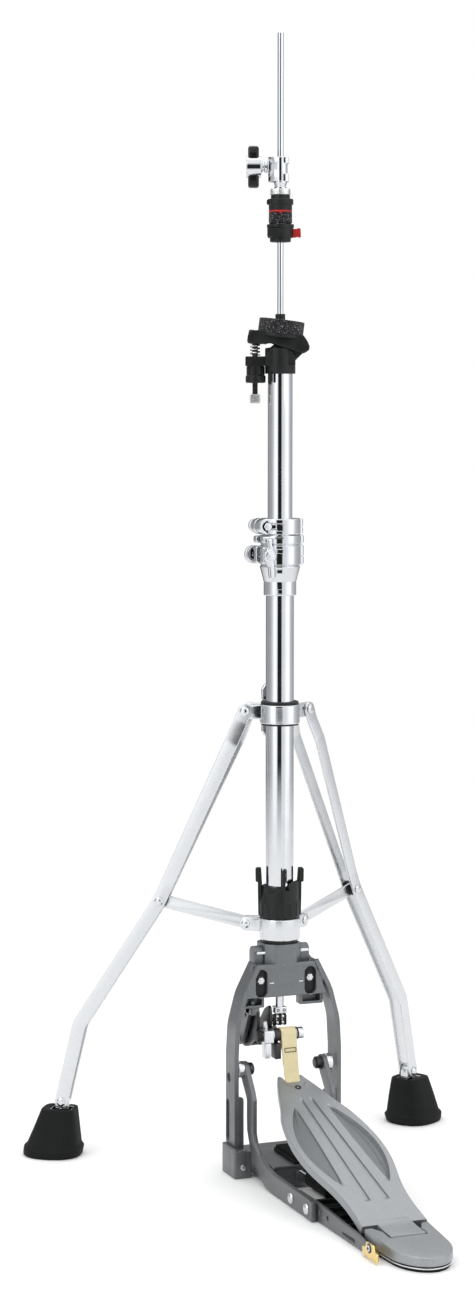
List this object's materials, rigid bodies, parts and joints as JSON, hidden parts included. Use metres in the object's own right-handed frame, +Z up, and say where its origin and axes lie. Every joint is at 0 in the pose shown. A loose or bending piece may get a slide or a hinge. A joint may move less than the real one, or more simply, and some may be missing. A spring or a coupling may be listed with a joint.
{
  "type": "hi-hat stand",
  "caption": "Hi-hat stand with two folding braced legs, telescoping column, tilting cymbal seat, rod clutch and a long strap-drive pedal in a cast frame.",
  "frame": {"origin": "on the floor, below the middle of the bounding box", "axes": "+Z up along the column, +Y from the heel of the pedal towards the legs, +X to the right of a player facing the column"},
  "size_m": [0.4822, 0.5506, 1.174],
  "materials": {
    "chrome": "polished chrome plate",
    "steel": "brushed, nickel plated",
    "cast_grey": "dark metallic grey paint on cast alloy",
    "board_grey": "light metallic grey paint on cast alloy",
    "black_plastic": "fine matte texture",
    "rubber": "moulded, matte",
    "felt": "pressed speckled wool felt",
    "red_plastic": "moulded, semi gloss",
    "brass": "bright, slightly worn",
    "webbing": "pale yellow woven webbing"
  },
  "bodies": {
    "frame": {"frame_casting": "cast_grey", "frame_foot_left": "cast_grey", "frame_foot_right": "cast_grey", "lower_tube": "chrome", "height_clamp": "chrome", "fascia_bolt_left": "steel", "fascia_bolt_right": "steel", "lever_hanger": "cast_grey", "rod_spring": "steel", "base_platform": "cast_grey", "platform_pad": "rubber", "base_bumper": "rubber"},
    "spring_tension_seat": {"spring_seat": "steel"},
    "dial": {"tension_dial": "black_plastic"},
    "clamp_bolt": {"height_clamp_bolt": "chrome"},
    "upper": {"upper_tube": "chrome", "seat_body": "black_plastic", "tilt_spring": "steel"},
    "memory": {"memory_lock": "chrome"},
    "memory_bolt": {"memory_lock_bolt": "chrome"},
    "tilt_adjuster": {"tilt_screw": "steel"},
    "tilter": {"seat_tilter": "black_plastic", "seat_felt": "felt"},
    "rod": {"pull_rod": "chrome", "rod_clevis": "chrome", "rod_chain": "black_plastic"},
    "clutch": {"clutch_body": "chrome", "clutch_upper_cup": "black_plastic", "clutch_felt": "felt"},
    "clutch_wing": {"clutch_wing_bolt": "chrome"},
    "clutch_lock_nut": {"clutch_nut": "steel"},
    "lower_cup": {"clutch_lower_cup": "black_plastic"},
    "release": {"clutch_release_lever": "red_plastic"},
    "leg_base": {"lower_leg_collar": "chrome"},
    "leg_top": {"upper_leg_collar": "chrome", "upper_collar_ring": "black_plastic"},
    "leg_wing": {"collar_wing_bolt": "chrome"},
    "leg_left": {"leg_left_strip_a": "chrome", "leg_left_strip_b": "chrome", "leg_left_knee_rivet": "chrome"},
    "leg_right": {"leg_right_strip_a": "chrome", "leg_right_strip_b": "chrome", "leg_right_knee_rivet": "chrome"},
    "brace_left": {"brace_left": "chrome"},
    "brace_right": {"brace_right": "chrome"},
    "foot_left": {"foot_left_rubber": "rubber", "foot_left_bracket": "steel"},
    "foot_right": {"foot_right_rubber": "rubber", "foot_right_bracket": "steel"},
    "pedal_base": {"side_arm_left": "cast_grey", "side_arm_right": "cast_grey", "heel_link": "cast_grey", "heel_plate": "board_grey", "heel_sole": "rubber", "heel_wedge": "brass"},
    "board": {"footboard": "board_grey"},
    "lever": {"lever_cam": "black_plastic", "strap_shaft": "chrome", "shaft_block": "steel"},
    "strap": {"pull_strap": "webbing"}
  },
  "joints": [
    {"name": "spring_seat_lift", "type": "slide", "parent": "frame", "child": "spring_tension_seat", "axis": [0, 0, 1], "range_m": [0, 0.008]},
    {"name": "tension_dial_turn", "type": "hinge", "parent": "frame", "child": "dial", "pos_m": [-0.00333, 0.10874, 0.283], "axis": [0, 0, 1], "range_deg": [0, 60]},
    {"name": "height_clamp_bolt_turn", "type": "hinge", "parent": "frame", "child": "clamp_bolt", "pos_m": [-0.02253, 0.10874, 0.643], "axis": [0, 1, 0], "range_deg": [-180, 180]},
    {"name": "height_slide", "type": "slide", "parent": "frame", "child": "upper", "axis": [0, 0, 1], "range_m": [-0.1, 0.05]},
    {"name": "memory_lock_slide", "type": "slide", "parent": "frame", "child": "memory", "axis": [0, 0, 1], "range_m": [0, 0.08]},
    {"name": "memory_lock_bolt_turn", "type": "hinge", "parent": "memory", "child": "memory_bolt", "pos_m": [-0.02253, 0.10874, 0.673], "axis": [0, 1, 0], "range_deg": [-180, 180]},
    {"name": "tilt_screw_turn", "type": "hinge", "parent": "upper", "child": "tilt_adjuster", "pos_m": [-0.02736, 0.11811, 0.803], "axis": [0, 0, 1], "range_deg": [-720, 1080]},
    {"name": "seat_tilt", "type": "hinge", "parent": "upper", "child": "tilter", "pos_m": [0.01885, 0.1001, 0.857], "axis": [0.3633, 0.9317, 0], "range_deg": [-3, 4]},
    {"name": "pull_rod_slide", "type": "slide", "parent": "frame", "child": "rod", "axis": [0, 0, -1], "range_m": [0, 0.0175], "deforming": ["rod_spring"]},
    {"name": "clutch_slide", "type": "slide", "parent": "rod", "child": "clutch", "axis": [0, 0, 1], "range_m": [-0.05, 0.1]},
    {"name": "clutch_wing_turn", "type": "hinge", "parent": "clutch", "child": "clutch_wing", "pos_m": [-0.02196, 0.116, 1.0386], "axis": [0.9317, -0.3633, 0], "range_deg": [-180, 180]},
    {"name": "clutch_nut_turn", "type": "hinge", "parent": "clutch", "child": "clutch_lock_nut", "pos_m": [-0.00333, 0.10874, 1.0133], "axis": [0, 0, 1], "continuous": true},
    {"name": "lower_cup_turn", "type": "hinge", "parent": "clutch", "child": "lower_cup", "pos_m": [-0.00333, 0.10874, 0.972], "axis": [0, 0, 1], "range_deg": [-90, 90]},
    {"name": "clutch_release_press", "type": "hinge", "parent": "lower_cup", "child": "release", "pos_m": [0.00525, 0.1054, 0.972], "axis": [0.3633, 0.9317, 0], "range_deg": [0, 7], "stiffness_Nm_per_rad": 0.08, "springref_deg": -22.92},
    {"name": "leg_swivel", "type": "hinge", "parent": "frame", "child": "leg_base", "pos_m": [-0.00333, 0.10874, 0.254], "axis": [0, 0, 1], "range_deg": [-45, 45]},
    {"name": "leg_spread_slide", "type": "slide", "parent": "leg_base", "child": "leg_top", "axis": [0, 0, 1], "range_m": [0, 0.04]},
    {"name": "leg_wing_turn", "type": "hinge", "parent": "leg_top", "child": "leg_wing", "pos_m": [-0.00333, 0.14274, 0.4788], "axis": [0, 1, 0], "range_deg": [-40, 40]},
    {"name": "pedal_fold", "type": "hinge", "parent": "frame", "child": "pedal_base", "pos_m": [-0.00333, 0.09674, 0.1106], "axis": [-1, 0, 0], "range_deg": [0, 60]},
    {"name": "footboard_press", "type": "hinge", "parent": "pedal_base", "child": "board", "pos_m": [-0.00333, -0.20726, 0.01], "axis": [-1, 0, 0], "range_deg": [0, 6], "stiffness_Nm_per_rad": 12, "springref_deg": -20.05},
    {"name": "lever_turn", "type": "hinge", "parent": "frame", "child": "lever", "pos_m": [-0.00333, 0.13874, 0.134], "axis": [1, 0, 0], "range_deg": [0, 31.5]},
    {"name": "strap_swing", "type": "hinge", "parent": "lever", "child": "strap", "pos_m": [-0.00333, 0.08874, 0.146], "axis": [-1, 0, 0], "range_deg": [0, 21], "deforming": ["pull_strap"]},
    {"name": "leg_left_hinge", "type": "hinge", "parent": "leg_top", "child": "leg_left", "pos_m": [-0.03228, 0.12769, 0.4816], "axis": [-0.5476, -0.8368, 0], "range_deg": [0, 4.2]},
    {"name": "brace_left_hinge", "type": "hinge", "parent": "leg_base", "child": "brace_left", "pos_m": [-0.03236, 0.12774, 0.2582], "axis": [0.5476, 0.8368, 0], "range_deg": [0, 23]},
    {"name": "foot_left_tilt", "type": "hinge", "parent": "leg_left", "child": "foot_left", "pos_m": [-0.19997, 0.23742, 0.0585], "axis": [-0.5476, -0.8368, 0], "range_deg": [-12, 12]},
    {"name": "leg_right_hinge", "type": "hinge", "parent": "leg_top", "child": "leg_right", "pos_m": [0.02658, 0.12615, 0.4816], "axis": [-0.503, 0.8643, 0], "range_deg": [0, 4.2]},
    {"name": "brace_right_hinge", "type": "hinge", "parent": "leg_base", "child": "brace_right", "pos_m": [0.02667, 0.1262, 0.2582], "axis": [0.503, -0.8643, 0], "range_deg": [0, 23]},
    {"name": "foot_right_tilt", "type": "hinge", "parent": "leg_right", "child": "foot_right", "pos_m": [0.19978, 0.22695, 0.0585], "axis": [-0.503, 0.8643, 0], "range_deg": [-12, 12]}
  ],
  "couplings": [
    {"joint": "spring_seat_lift", "follows": "tension_dial_turn", "m_per_rad": 0.007639},
    {"joint": "seat_tilt", "follows": "tilt_screw_turn", "ratio": 0.0032},
    {"joint": "lever_turn", "follows": "footboard_press", "ratio": 5.1},
    {"joint": "strap_swing", "follows": "footboard_press", "ratio": 3.3},
    {"joint": "pull_rod_slide", "follows": "footboard_press", "m_per_rad": 0.1633},
    {"joint": "leg_left_hinge", "follows": "leg_spread_slide", "rad_per_m": 1.7933},
    {"joint": "brace_left_hinge", "follows": "leg_spread_slide", "rad_per_m": 9.7826},
    {"joint": "leg_right_hinge", "follows": "leg_spread_slide", "rad_per_m": 1.7933},
    {"joint": "brace_right_hinge", "follows": "leg_spread_slide", "rad_per_m": 9.7826}
  ]
}
